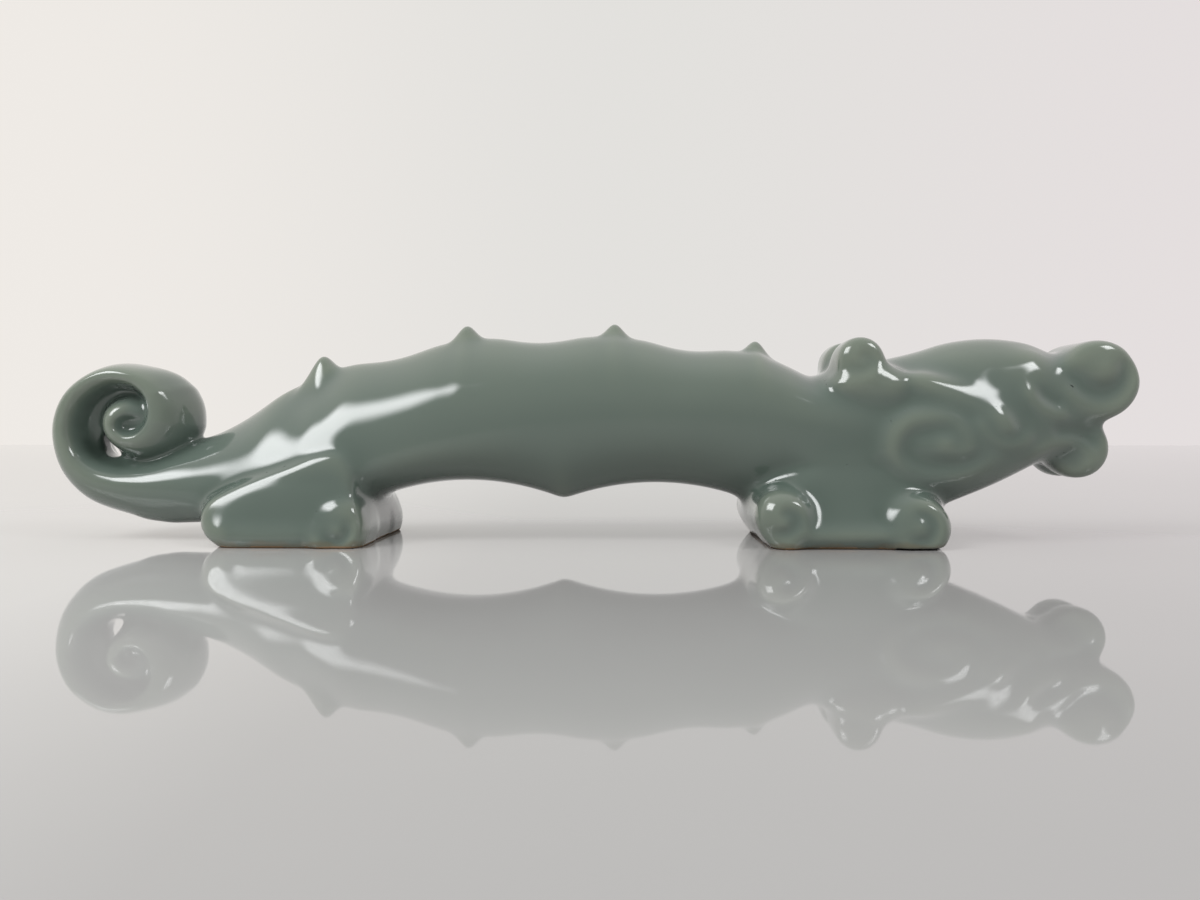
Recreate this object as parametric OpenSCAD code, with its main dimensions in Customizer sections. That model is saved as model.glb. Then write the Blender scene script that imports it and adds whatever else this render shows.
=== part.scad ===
// Brush rest: a glazed figure of a scaleless dragon lying on two feet.
// Its back has four crest tips with a saddle between each pair for a brush.
// Millimetres, +X towards the head, +Z up, the two feet stand on z = 0.
// The near side in the main view is -Y, which is the dragon's own right side.

/* [Body] */
// half of the body's thickness, from the middle plane to its side
body_half_w = 9; // [7.5:0.1:10]
// place of the first crest tip, next to the tail, along the length
tip1_x = -39; // [-40:0.1:-38]
// height of the first crest tip
tip1_z = 26.0; // [25:0.1:27]
// place of the second crest tip
tip2_x = -18.6; // [-20:0.1:-17]
// height of the second crest tip
tip2_z = 30.2; // [29:0.1:31]
// place of the third crest tip
tip3_x = 2.1; // [1:0.1:3.5]
// height of the third crest tip, the highest point of the rest
tip3_z = 30.38; // [29:0.01:31]
// place of the fourth crest tip, next to the neck
tip4_x = 21.7; // [20:0.1:23]
// height of the fourth crest tip
tip4_z = 28.0; // [27:0.1:29]
// depth of each brush saddle below the line between its two tips
saddle_depth = 2.9; // [2:0.1:3.6]
// depth of the hollow between the tail and the first tip
rump_depth = 1.65; // [1:0.05:2.2]
// half of the length over which a crest tip is rounded
tip_round = 1.2; // [0.6:0.1:1.8]
// height of the point in the middle of the belly
belly_point_z = 5.6; // [5:0.1:6.5]
// place of the point in the middle of the belly
belly_point_x = -5; // [-7:0.1:-3]
// rise of the two belly arches beside that point
belly_rise = 2.3; // [1.6:0.1:3]

/* [Tail] */
// half of the width of the tail strap
tail_half_w = 6.1; // [5:0.1:7]
// swell of the strap on the outside of the scroll, times the traced value
tail_swell = 1; // [0.85:0.05:1.15]

/* [Head] */
// half of the widest part of the head
head_half_w = 8.8; // [7.6:0.1:9.6]
// radius of the rolled nose
nose_r = 5.4; // [4.6:0.1:6]
// half of the width of the rolled nose
nose_half_w = 5.9; // [5:0.1:6.6]
// radius of each chin curl
chin_r = 4.1; // [3.5:0.1:4.5]
// half of the width of each chin curl
chin_half_w = 2.1; // [1.8:0.1:2.5]
// radius of the curl at the top of each mane lock
mane_r = 3; // [2.7:0.1:3.4]

/* [Feet] */
// half of the width of both feet, which sets the depth of the whole rest
foot_half_w = 12; // [11:0.1:13]
// thickness of the bare clay sole below the glaze line
sole_t = 0.6; // [0.4:0.1:1]
// radius of each curl on the front foot
paw_r = 3.7; // [3.2:0.1:4]
// height of the raised lines in the curls
ridge_h = 0.55; // [0.3:0.05:0.8]

/* [Hidden] */

// moves everything so that the middle of the whole length is at x = 0
middle_x = 2;
// the tail root ends and the scroll starts on this cross plane
root_x = -66;
// the body ends and the head starts on this cross plane
neck_x = 38;
// the low point behind the last tip
nape_x = 29.1;
nape_z = 22.6;
// the tail root's own outlines as [place, height]
root_top = [[-66, 10.9], [-63, 11.3], [-61, 11.9], [-59, 12.8], [-56, 13.9]];
under = [[-66, 3.65], [-63.5, 2.7], [-60, 2.25], [-56, 2.4], [-50, 3.3], [-40, 4.8], [-30, 6.2]];
// height of the widest line of the body
side_line = [[-66, 8.0], [-62, 7.6], [-59, 7.5], [-56, 7.8], [-52, 9], [-48, 11], [-44, 13],
  [-38, 15.2], [-30, 16.8], [-20, 17.6], [0, 17.8], [15, 17.4], [25, 16.4], [38, 14.6]];
// share of the body's half width along its length
slender = [[-66, 0.68], [-59, 0.69], [-52, 0.78], [-44, 0.91], [-34, 0.98], [-10, 1], [10, 1],
  [25, 0.98], [38, 0.96]];

// a hollow arc that hangs below the line between two points
function sag(x, x0, z0, x1, z1, d) =
  let (u = (x - x0) / (x1 - x0)) z0 + (z1 - z0) * u - 4 * d * u * (1 - u);
function back_line(x) =
  x < -56 ? lookup(x, root_top) :
  x < tip1_x ? sag(x, -56, 13.9, tip1_x, tip1_z, rump_depth) :
  x < tip2_x ? sag(x, tip1_x, tip1_z, tip2_x, tip2_z, saddle_depth) :
  x < tip3_x ? sag(x, tip2_x, tip2_z, tip3_x, tip3_z, saddle_depth) :
  x < tip4_x ? sag(x, tip3_x, tip3_z, tip4_x, tip4_z, saddle_depth) :
  x < nape_x ? nape_z + (tip4_z - nape_z) * pow((nape_x - x) / (nape_x - tip4_x), 1.35) :
  nape_z + 0.12 * (x - nape_x);
function back(x) = (back_line(x - tip_round) + 2 * back_line(x) + back_line(x + tip_round)) / 4;
function belly_line(x) =
  x < -30 ? lookup(x, under) :
  x < belly_point_x ? sag(x, -30, 6.2, belly_point_x, belly_point_z, -belly_rise) :
  x < 20.5 ? sag(x, belly_point_x, belly_point_z, 20.5, 5.6, -belly_rise) :
  5.6 - 0.035 * (x - 20.5);
function belly(x) = (belly_line(x - 1) + 2 * belly_line(x) + belly_line(x + 1)) / 4;
// 1 at a crest tip, falling to 0 in the saddles
function at_tip(x) =
  max([for (t = [tip1_x, tip2_x, tip3_x, tip4_x]) exp(-pow((x - t) / 3.2, 2))]);

// a point of a rounded section: a in degrees, exponent 2 is an ellipse
function spow(v, e) = sign(v) * pow(abs(v), e);
function section(w, up, down, p_up, p_down, n) =
  [for (j = [0 : n - 1])
    let (a = 360 * j / n, s = sin(a), p = s >= 0 ? p_up : p_down)
    [w * spow(cos(a), 2 / p), (s >= 0 ? up : down) * spow(s, 2 / p)]];

// a closed skin over rings of equal length, with a middle point in each end
function skin_faces(n, m) = concat(
  [for (j = [0 : m - 1]) [0, 1 + j, 1 + (j + 1) % m]],
  [for (i = [0 : n - 2], j = [0 : m - 1], k = [0, 1])
    let (a = 1 + i * m + j, b = 1 + i * m + (j + 1) % m)
    k == 0 ? [a, b + m, b] : [a, a + m, b + m]],
  [for (j = [0 : m - 1]) [1 + n * m, 1 + (n - 1) * m + (j + 1) % m, 1 + (n - 1) * m + j]]);
function middle(ring) = [for (k = [0 : 2]) [for (p = ring) 1] * [for (p = ring) p[k]] / len(ring)];
module skin(rings) {
  polyhedron(
    concat([middle(rings[0])], [for (r = rings) each r], [middle(rings[len(rings) - 1])]),
    skin_faces(len(rings), len(rings[0])), convexity = 8);
}

// a smooth path through a few points, with s steps from point to point
function glide(a, b, c, d, t) =
  0.5 * (2 * b + (c - a) * t + (2 * a - 5 * b + 4 * c - d) * t * t
    + (3 * b - a - 3 * c + d) * t * t * t);
function path(p, s) = let (n = len(p) - 1) concat(
  [for (i = [0 : n - 1], k = [0 : s - 1])
    glide(p[max(0, i - 1)], p[i], p[i + 1], p[min(n, i + 2)], k / s)], [p[n]]);
// distance from a point to a line of points
function to_piece(p, a, b) =
  let (ab = b - a, t = max(0, min(1, ((p - a) * ab) / (ab * ab)))) norm(p - a - t * ab);
function to_line(p, line) =
  min([for (i = [0 : len(line) - 2]) to_piece(p, line[i], line[i + 1])]);
// a flat spiral as [x, z] points: radius r0 to r1, starting at angle a0
function spiral(c, r0, r1, a0, turns, n) =
  [for (i = [0 : n]) let (u = i / n, a = a0 + 360 * turns * u, r = r0 + (r1 - r0) * u)
    c + [r * cos(a), r * sin(a)]];

// one face of a pressed curl, ring by ring: domed, with a raised line on it
function relief_ring(c, rx, rz, rot, k, na, level, dome, line, amp, wide, side) =
  [for (j = [0 : na - 1])
    let (a = 360 * j / na, u = rx * k * cos(a), v = rz * k * sin(a),
      p = c + [u * cos(rot) - v * sin(rot), u * sin(rot) + v * cos(rot)],
      h = level + dome * pow(max(0, 1 - k * k), 0.6)
        + amp * exp(-pow(to_line(p, line) / wide, 2)) * (1 - pow(k, 8)))
    [p[0], side * h, p[1]]];
// a pad with a flat back at y = -back and its relief towards -Y
module relief_pad(c, rx, rz, rot, face, back, dome, line, amp, wide, nr = 8, na = 28) {
  skin(concat(
    [relief_ring(c, rx, rz, rot, 1, na, back, 0, line, 0, wide, -1)],
    [for (i = [nr : -1 : 1])
      relief_ring(c, rx, rz, rot, i / nr, na, face, dome, line, amp, wide, -1)]));
}
// a roll with the same relief on both ends, its middle at y = mid
module relief_roll(c, r, mid, half, dome, line, amp, wide, nr = 7, na = 28) {
  translate([0, mid, 0]) skin(concat(
    [for (i = [1 : nr]) relief_ring(c, r, r, 0, i / nr, na, half, dome, line, amp, wide, 1)],
    [for (i = [nr : -1 : 1])
      relief_ring(c, r, r, 0, i / nr, na, half, dome, line, amp, wide, -1)]));
}
// a foot block in levels, each [height, back end, front end, half width, corner]
function block_ring(v, n = 9) = let (c = v[4])
  [for (q = [[1, 1, 0], [-1, 1, 90], [-1, -1, 180], [1, -1, 270]], k = [0 : n - 1])
    let (a = q[2] + 90 * (k + 0.5) / n,
      x = q[0] > 0 ? v[2] - c : v[1] + c, y = q[1] * (v[3] - c))
    [x + c * cos(a), y + c * sin(a), v[0]]];
module block(levels) {
  skin([for (v = path(levels, 2)) block_ring(v, 4)]);
}

// the body's full form, also used to cut the pieces that are luted onto it
body_stations = concat([for (i = [0 : 17]) root_x + i * 1.5], [for (i = [0 : 47]) -39.9 + i * 1.625]);
module body_form() {
  skin([for (x = body_stations)
    let (zs = lookup(x, side_line), w = body_half_w * lookup(x, slender),
      p_up = x < -52 ? 1.7 : 2.15 - 0.5 * at_tip(x))
    [for (q = section(w, back(x) - zs, zs - belly(x), p_up, 2.2, 24)) [x, q[0], zs + q[1]]]]);
}

// the scroll's rim line, then the swell outwards and inwards at each point
scroll_line = [[-66, 8.0], [-69.2, 8.8], [-71.6, 10.6], [-72.9, 13.1], [-73.3, 16.1],
  [-72.3, 19.3], [-69.9, 21.6], [-66.9, 22.7], [-63.9, 22.4], [-61.6, 20.9], [-60.5, 18.5],
  [-60.9, 16], [-62.5, 14.2], [-64.7, 13.9], [-66.3, 15.1], [-66.2, 16.9], [-64.7, 17.9],
  [-62.9, 17.6]];
scroll_out = [4.35, 4, 3.5, 3.1, 2.7, 2.1, 1.6, 1.5, 1.4, 1.6, 2.3, 2.9, 3, 3, 3.3, 3.2, 2.4, 1.4];
scroll_in = [2.9, 2.8, 2.7, 2.7, 2.6, 2.4, 2.2, 2, 1.9, 1.8, 1.6, 1.4, 1.2, 1, 1, 1.1, 1.2, 0.9];
tip_from = 10;
module strap(first, last) {
  s = 3;
  line = path(scroll_line, s);
  out = path([for (v = scroll_out) [v, 0]], s);
  in = path([for (v = scroll_in) [v, 0]], s);
  n = len(line) - 1;
  skin([for (i = [first * s : last * s])
    let (t = line[min(n, i + 1)] - line[max(0, i - 1)], e = i == 0 ? [-1, 0] : t / norm(t),
      o = [-e[1], e[0]], w = i > n - 2 ? tail_half_w * (i == n ? 0.72 : 0.88) : tail_half_w,
      grow = i < 3 ? 1 + (tail_swell - 1) * i / 3 : tail_swell)
    [for (q = section(i == 0 ? body_half_w * slender[0][1] : w, in[i][0], out[i][0] * grow,
        1.7, 2.2 - 0.1 * min(i, 5), 18))
      [line[i][0] - o[0] * q[1], q[0], line[i][1] - o[1] * q[1]]]]);
}
module tail_form() { strap(0, tip_from); }
module tail_tip_form() { strap(tip_from, len(scroll_line) - 1); }

// the head's outlines as [place, top, bottom, widest line, share of its half width]
head_shape = [[38, 23.66, 4.99, 14.6, 0.982], [41, 24.7, 4.9, 14.4, 0.99],
  [44, 25.8, 4.9, 14.3, 1], [47, 27, 5.25, 14.4, 1], [50, 27.6, 6.35, 14.9, 0.99],
  [53, 27.8, 7.6, 15.6, 0.95], [56, 27.6, 9, 16.3, 0.88], [59, 27, 10.45, 17, 0.8],
  [62, 25.5, 11.3, 17.7, 0.7], [64.5, 23.9, 12.6, 18.1, 0.6], [66.5, 22.5, 14.2, 18.4, 0.48],
  [68, 21.2, 15.9, 18.5, 0.32], [68.9, 19.9, 17.2, 18.6, 0.15]];
module head_form() {
  rows = path(head_shape, 2);
  skin([for (r = rows)
    [for (q = section(r[0] == neck_x ? body_half_w * 0.96 : head_half_w * r[4],
        r[1] - r[3], r[3] - r[2], 2.15, 2.3, 24)) [r[0], q[0], r[3] + q[1]]]]);
}

rear_levels = [[0, -49.6, -30.9, 11.7, 1.8], [0.9, -51.2, -30.5, 12, 2.4], [2.6, -52.3, -30.5, 12, 3],
  [4.6, -52.6, -31.1, 11.8, 3.4], [6.4, -51, -31.9, 11, 3.8], [7.8, -47, -33, 9.6, 3.6],
  [8.6, -43, -34.4, 7.6, 3.2]];
front_levels = [[0, 21.6, 44.3, 11.7, 3.4], [0.9, 21.1, 45, 12, 4.4], [2.6, 20.9, 45.3, 12, 5],
  [4.6, 20.9, 45, 11.7, 5], [6.8, 21.6, 43.4, 11, 4.6], [9, 24, 40.6, 9.8, 4],
  [10.6, 27, 37.4, 8.2, 3.2]];
module at_foot_width(levels) {
  block([for (v = levels) [v[0], v[1], v[2], v[3] * foot_half_w / 12, v[4]]]);
}
module rear_foot_form() { at_foot_width(rear_levels); }
module front_foot_form() { at_foot_width(front_levels); }
// everything below the glaze line
module ground() {
  translate([-80, -20, -5]) cube([160, 40, 5 + sole_t]);
}

// the thigh that lies on the rear foot, as one pressed pad
module haunch_form() {
  contour = path([[-51.3, 5.2], [-49.6, 6.9], [-45.5, 8.6], [-40.2, 10], [-36.5, 11.3],
    [-33.6, 11.4], [-31.6, 9.6], [-30.2, 7.2], [-31.4, 5], [-36, 4.2], [-43, 3.8], [-48.5, 3.9]], 1);
  c = [-39.5, 7];
  skin([for (k = [0 : 6])
    let (f = k == 0 ? 1 : cos(82 * (k - 1) / 5), y = k == 0 ? 4 : 9.2 + 2.3 * sin(82 * (k - 1) / 5))
    [for (i = [len(contour) - 1 : -1 : 0]) let (p = c + (contour[i] - c) * f) [p[0], -y, p[1]]]]);
}
// each curl as its middle [x, z]
rear_curl_c = [-34.2, 2.9];
back_curl_c = [24.1, 3.7];
toe_curl_c = [41.2, 3.2];
module rear_curl_form() {
  relief_pad(rear_curl_c, 3.5, 3.2, 0, foot_half_w - 0.9, 8, 0.8,
    spiral(rear_curl_c + [0, -0.3], 2.6, 0.2, 200, -1.25, 26), ridge_h, 0.75);
}
module back_curl_form() {
  relief_pad(back_curl_c, paw_r, paw_r - 0.2, 0, foot_half_w - 0.9, 8, 0.8,
    spiral(back_curl_c, paw_r - 0.9, 0.2, 230, -1.35, 26), ridge_h, 0.75);
}
module toe_curl_form() {
  relief_pad(toe_curl_c, paw_r + 0.1, paw_r - 0.5, 0, foot_half_w - 0.9, 8, 0.8,
    spiral(toe_curl_c, paw_r - 0.9, 0.2, 200, -1.3, 26), ridge_h, 0.75);
}
mane_c = [34.4, 24.6];
module mane_form() {
  relief_roll(mane_c, mane_r, -4.3, 2.3, 0.5,
    spiral(mane_c, mane_r - 0.7, 0.2, 250, -1.3, 26), ridge_h, 0.6);
  relief_pad([35.9, 21], 6, 3.9, -12, 7.2, 2.4, 2.1, [[30, 21], [36, 24]], 0, 1, 6, 24);
}
// the cheek's raised line runs from the jaw, round below and behind, and rolls in
cheek_line = [[53.6, 12.4], [50.1, 10.4], [47, 9.5], [44, 9.1], [41.2, 9.6], [38.9, 10.9],
  [38.1, 12.9], [38.8, 14.8], [40.4, 16.1], [42.5, 16.5], [44.8, 16.3], [46.8, 15.1],
  [47.7, 13.6], [46.9, 12.2], [45.4, 12.1], [44.9, 13.2]];
module cheek_form() {
  relief_pad([44.9, 12.4], 8.3, 4.9, 2, 8.2, 4, 1.7, path(cheek_line, 1), 0.8, 0.85, 11, 36);
}
module brow_form() {
  relief_pad([46.2, 20.5], 5.6, 2.1, -22, 7.4, 3, 1.3, [[41.2, 22.4], [46, 21], [51, 18.6]], 0.3, 0.7, 6, 20);
}
module eye_form() {
  relief_pad([52.6, 16.1], 2.4, 1.4, -16, 8.3, 4, 0.75, [[50.6, 16.6], [54.6, 15.4]], 0.2, 0.5, 5, 18);
}
nose_c = [66.7, 21.9];
module nose_form() {
  relief_roll(nose_c, nose_r, 0, nose_half_w - 0.7, 0.7,
    spiral(nose_c + [0.3, 0], nose_r - 1.2, 0.3, 240, 1.6, 40), ridge_h + 0.15, 0.9, 9, 32);
}
chin_c = [64.5, 12.8];
module chin_form() {
  relief_roll(chin_c, chin_r, -chin_half_w - 0.3, chin_half_w - 0.4, 0.5,
    spiral(chin_c, chin_r - 0.9, 0.2, 130, -1.3, 30), ridge_h, 0.75);
}
module to_left() { mirror([0, 1, 0]) children(); }
module place() { translate([middle_x, 0, 0]) children(); }

// the arched body from the tail root to the neck, with its four crest tips
module body() color([0.56, 0.64, 0.58]) place() body_form();
// the strap tail up to where its last part rolls in
module tail_scroll() color([0.56, 0.64, 0.58]) place() difference() { tail_form(); body_form(); }
// the last part of the strap, rolled in against the turn round it
module tail_tip() color([0.56, 0.64, 0.58]) place()
  difference() { tail_tip_form(); tail_form(); body_form(); }
// the head without its pressed-on scrolls
module head() color([0.56, 0.64, 0.58]) place() head_form();
// the block of clay under the hind legs, above the glaze line
module rear_foot() color([0.60, 0.67, 0.61]) place() difference() { rear_foot_form(); body_form(); ground(); }
// the block of clay under the chest, above the glaze line
module front_foot() color([0.60, 0.67, 0.61]) place()
  difference() { front_foot_form(); body_form(); head_form(); ground(); }
// the bare soles that the glaze is wiped from
module rear_sole() color([0.74, 0.62, 0.46]) place() intersection() { rear_foot_form(); ground(); }
module front_sole() color([0.74, 0.62, 0.46]) place() intersection() { front_foot_form(); ground(); }
module haunch_right() color([0.56, 0.64, 0.58]) place()
  difference() { haunch_form(); body_form(); rear_foot_form(); }
module haunch_left() color([0.56, 0.64, 0.58]) to_left() haunch_right();
module rear_paw_curl_right() color([0.60, 0.67, 0.61]) place()
  difference() { rear_curl_form(); body_form(); rear_foot_form(); haunch_form(); ground(); }
module rear_paw_curl_left() color([0.60, 0.67, 0.61]) to_left() rear_paw_curl_right();
module front_foot_back_curl_right() color([0.60, 0.67, 0.61]) place()
  difference() { back_curl_form(); body_form(); front_foot_form(); ground(); }
module front_foot_back_curl_left() color([0.60, 0.67, 0.61]) to_left() front_foot_back_curl_right();
module front_foot_toe_curl_right() color([0.60, 0.67, 0.61]) place()
  difference() { toe_curl_form(); body_form(); head_form(); front_foot_form(); ground(); }
module front_foot_toe_curl_left() color([0.60, 0.67, 0.61]) to_left() front_foot_toe_curl_right();
module mane_lock_right() color([0.56, 0.64, 0.58]) place()
  difference() { mane_form(); body_form(); head_form(); }
module mane_lock_left() color([0.56, 0.64, 0.58]) to_left() mane_lock_right();
module cheek_scroll_right() color([0.56, 0.64, 0.58]) place()
  difference() { cheek_form(); head_form(); body_form(); }
module cheek_scroll_left() color([0.56, 0.64, 0.58]) to_left() cheek_scroll_right();
module brow_right() color([0.56, 0.64, 0.58]) place() difference() { brow_form(); head_form(); mane_form(); }
module brow_left() color([0.56, 0.64, 0.58]) to_left() brow_right();
module eye_right() color([0.56, 0.64, 0.58]) place() difference() { eye_form(); head_form(); cheek_form(); }
module eye_left() color([0.56, 0.64, 0.58]) to_left() eye_right();
module nose_scroll() color([0.58, 0.66, 0.60]) place() difference() { nose_form(); head_form(); }
module chin_curl_right() color([0.58, 0.66, 0.60]) place()
  difference() { chin_form(); head_form(); nose_form(); }
module chin_curl_left() color([0.58, 0.66, 0.60]) to_left() chin_curl_right();

body();
tail_scroll();
tail_tip();
head();
rear_foot();
front_foot();
haunch_right();
haunch_left();
rear_paw_curl_right();
rear_paw_curl_left();
front_foot_back_curl_right();
front_foot_back_curl_left();
front_foot_toe_curl_right();
front_foot_toe_curl_left();
mane_lock_right();
mane_lock_left();
cheek_scroll_right();
cheek_scroll_left();
brow_right();
brow_left();
eye_right();
eye_left();
nose_scroll();
chin_curl_right();
chin_curl_left();
rear_sole();
front_sole();
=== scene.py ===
# %% [markdown]
# This lesson dresses a glazed brush rest, a small figure of a scaleless dragon on two feet.
# Its CAD frame has every clay piece in its place, but with crisp seams and facets.
# The real rest went under a thick glaze that ran over each seam, so here one smooth skin is
# laid over the same pieces and then parted again into one closed mesh for each of them.

# %% Load the frame
import math
import bpy
import numpy as np
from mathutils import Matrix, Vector


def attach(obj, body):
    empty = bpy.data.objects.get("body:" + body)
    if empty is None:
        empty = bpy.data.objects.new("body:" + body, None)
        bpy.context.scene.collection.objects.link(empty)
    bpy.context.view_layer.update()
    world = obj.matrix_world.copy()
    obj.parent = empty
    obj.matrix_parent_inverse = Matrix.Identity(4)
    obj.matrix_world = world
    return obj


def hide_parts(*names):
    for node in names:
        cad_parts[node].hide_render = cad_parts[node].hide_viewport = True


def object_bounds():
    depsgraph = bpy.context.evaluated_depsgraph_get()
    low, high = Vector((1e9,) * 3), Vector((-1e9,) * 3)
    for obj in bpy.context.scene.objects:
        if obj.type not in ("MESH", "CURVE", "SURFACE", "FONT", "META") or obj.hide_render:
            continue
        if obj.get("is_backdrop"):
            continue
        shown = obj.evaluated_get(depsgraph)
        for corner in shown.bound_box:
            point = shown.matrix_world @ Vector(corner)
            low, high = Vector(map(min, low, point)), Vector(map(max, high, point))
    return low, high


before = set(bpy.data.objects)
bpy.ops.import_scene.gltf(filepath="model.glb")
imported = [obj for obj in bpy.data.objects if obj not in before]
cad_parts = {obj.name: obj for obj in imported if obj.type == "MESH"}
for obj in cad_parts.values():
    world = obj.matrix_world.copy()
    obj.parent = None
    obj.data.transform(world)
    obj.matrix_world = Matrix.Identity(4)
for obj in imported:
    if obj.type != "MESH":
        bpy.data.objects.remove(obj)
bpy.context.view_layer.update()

MM = 0.001
print("nodes in the frame:", len(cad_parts))

# %% [markdown]
# The picture was taken from very near, a hand's breadth from the rest, with the lens barely
# above its back. A short lens so close shows the rest's own perspective: the nose end is a
# little nearer, and the glossy table runs up to a line just under the middle of the picture.
# The camera could be placed by eye, but the real size gives the distance, so it is typed in.

# %% Camera
def new_object(name, data):
    fresh = bpy.data.objects.new(name, data)
    bpy.context.scene.collection.objects.link(fresh)
    return fresh


camera = new_object("camera", bpy.data.cameras.new("camera"))
camera.data.sensor_width = 36
camera.data.lens = 28.5
camera.data.clip_start = 0.005
camera.data.clip_end = 20
camera.location = (5.25 * MM, -132.96 * MM, 15.9 * MM)
camera.rotation_euler = (math.radians(88.493), 0, math.radians(1.4))
bpy.context.scene.camera = camera
print("camera height above the table in mm:", round(camera.location.z / MM, 1))

# %% [markdown]
# The rest stands on a white table that is polished like glass, in front of a pale wall.
# The table is one flat sheet, and its mirror image comes from the gloss of its own shader.
# It could be a photograph of a studio, but a plain sheet keeps the eye on the rest. A few
# helpers come first, because every look and every repeated form is a tree of nodes.

# %% Helpers for node trees
def fresh_tree(owner):
    owner.use_nodes = True
    owner.node_tree.nodes.clear()
    return owner.node_tree


def add(tree, kind, inputs=(), **settings):
    """One node. Each input is a plain value, or the output of a node that is wired to it."""
    node = tree.nodes.new(kind)
    for name, value in settings.items():
        setattr(node, name, value)
    for name, value in dict(inputs).items():
        if isinstance(value, bpy.types.NodeSocket):
            tree.links.new(value, node.inputs[name])
        else:
            node.inputs[name].default_value = value
    return node


def reckon(tree, kind, *values):
    """The result of one sum of typed or wired values."""
    return add(tree, "ShaderNodeMath", dict(enumerate(values)), operation=kind).outputs[0]


def stretch(tree, value, low, high, to_low=0.0, to_high=1.0, soft=False):
    """A value stretched from one span to another, and held at the ends."""
    spans = {"Value": value, "From Min": low, "From Max": high, "To Min": to_low, "To Max": to_high}
    way = "SMOOTHSTEP" if soft else "LINEAR"
    return add(tree, "ShaderNodeMapRange", spans, interpolation_type=way).outputs["Result"]


def ramp(tree, value, colours, way="LINEAR"):
    """A colour for each value, from a list of places and colours."""
    node = add(tree, "ShaderNodeValToRGB", {"Fac": value})
    node.color_ramp.interpolation = way
    elements = node.color_ramp.elements
    first, *between, last = colours
    elements[0].color, elements[1].color = (*first[1], 1), (*last[1], 1)
    for spot, colour in between:
        elements.new(spot).color = (*colour, 1)
    return node.outputs["Color"]


# %% The polished table
table_mat = bpy.data.materials.new("polished white table")
tree = fresh_tree(table_mat)
place = add(tree, "ShaderNodeTexCoord").outputs["Object"]
cloud = add(tree, "ShaderNodeTexNoise", {"Vector": place, "Scale": 9, "Detail": 2})
across = add(tree, "ShaderNodeSeparateXYZ", {"Vector": place})
# painted light: the table is painted paler on its left, where more light falls on it
painted_light_left = stretch(tree, across.outputs["X"], -0.012, -0.055)
mottle_and_painted_light = reckon(tree, "MULTIPLY_ADD", cloud.outputs["Fac"], 0.25, painted_light_left)
tint = ramp(tree, mottle_and_painted_light, [(0, (0.45, 0.44, 0.43)), (1, (0.64, 0.63, 0.615))])
gloss = add(tree, "ShaderNodeBsdfPrincipled", {"Base Color": tint, "Roughness": 0.025, "IOR": 1.5})
add(tree, "ShaderNodeOutputMaterial", {"Surface": gloss.outputs["BSDF"]})
near_y, far_y, half_x = -600 * MM, 620 * MM, 1500 * MM
table_z = -0.02 * MM
sheet = bpy.data.meshes.new("table")
sheet.from_pydata([(-half_x, near_y, table_z), (half_x, near_y, table_z),
                   (half_x, far_y, table_z), (-half_x, far_y, table_z)], [], [(0, 1, 2, 3)])
sheet.materials.append(table_mat)
table = new_object("table", sheet)
table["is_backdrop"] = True
print("table reaches", round(far_y / MM), "mm behind the rest")

# %% [markdown]
# The wall is far out of focus, so it is the world itself: a soft pale colour, warmer on the
# left, which only the camera and mirror-like rays see. The light that falls on the rest is
# set apart from it, so the wall can be pale without more light on the rest. That light comes
# from above, as from a pale ceiling, and more of it from the camera's side than from behind.
# A mirror-like ray that leaves towards the camera meets a darker room, as in the photo.

# %% The pale wall and the room's soft light
world = bpy.data.worlds.new("room")
bpy.context.scene.world = world
tree = fresh_tree(world)
direction = add(tree, "ShaderNodeTexCoord").outputs["Generated"]
part = add(tree, "ShaderNodeSeparateXYZ", {"Vector": direction}).outputs
ray = add(tree, "ShaderNodeLightPath").outputs
wall = ramp(tree, stretch(tree, part["X"], -0.55, 0.55),
            [(0, (0.860, 0.826, 0.788)), (0.5, (0.765, 0.752, 0.728)), (1, (0.776, 0.733, 0.733))],
            "EASE")
dim_in_front = stretch(tree, part["Y"], -0.7, 0.2, 0.3, 1.0, soft=True)
shown = reckon(tree, "MAXIMUM", dim_in_front, ray["Is Camera Ray"])
seen = add(tree, "ShaderNodeBackground", {"Color": wall, "Strength": shown})
ceiling = ramp(tree, stretch(tree, part["Z"], -0.1, 1.0),
               [(0, (0.25, 0.25, 0.26)), (1, (0.53, 0.53, 0.53))])
FRONT_LIGHT = 1.85  # times the light from behind
front_fill = stretch(tree, part["Y"], 0.0, -1.0, 1.0, FRONT_LIGHT)
lit = add(tree, "ShaderNodeBackground", {"Color": ceiling, "Strength": front_fill})
either = reckon(tree, "MAXIMUM", ray["Is Camera Ray"], ray["Is Glossy Ray"])
pick = add(tree, "ShaderNodeMixShader",
           {"Fac": either, 1: lit.outputs["Background"], 2: seen.outputs["Background"]})
add(tree, "ShaderNodeOutputWorld", {"Surface": pick.outputs["Shader"]})
bpy.context.scene.view_settings.view_transform = "Standard"
print("light from the camera's side:", FRONT_LIGHT, "times the light from behind")

# %% [markdown]
# Two soft boxes light the rest, one on each side in front of it and halfway up. The left one
# draws the long bright streak over the rump and the tail, the right one the glints on the
# brow and the nose. Lamps could be tried by eye, but each glint on a known curl gives its
# direction, because a mirror image leaves the gloss at the angle at which it comes in. The
# cloth of a soft box glows in its middle and fades to its rim, so the glints have soft edges.

# %% Two soft boxes
GLOW_FULL, GLOW_NONE = 0.22, 0.5  # shares of the cloth's width, counted from its middle


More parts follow.
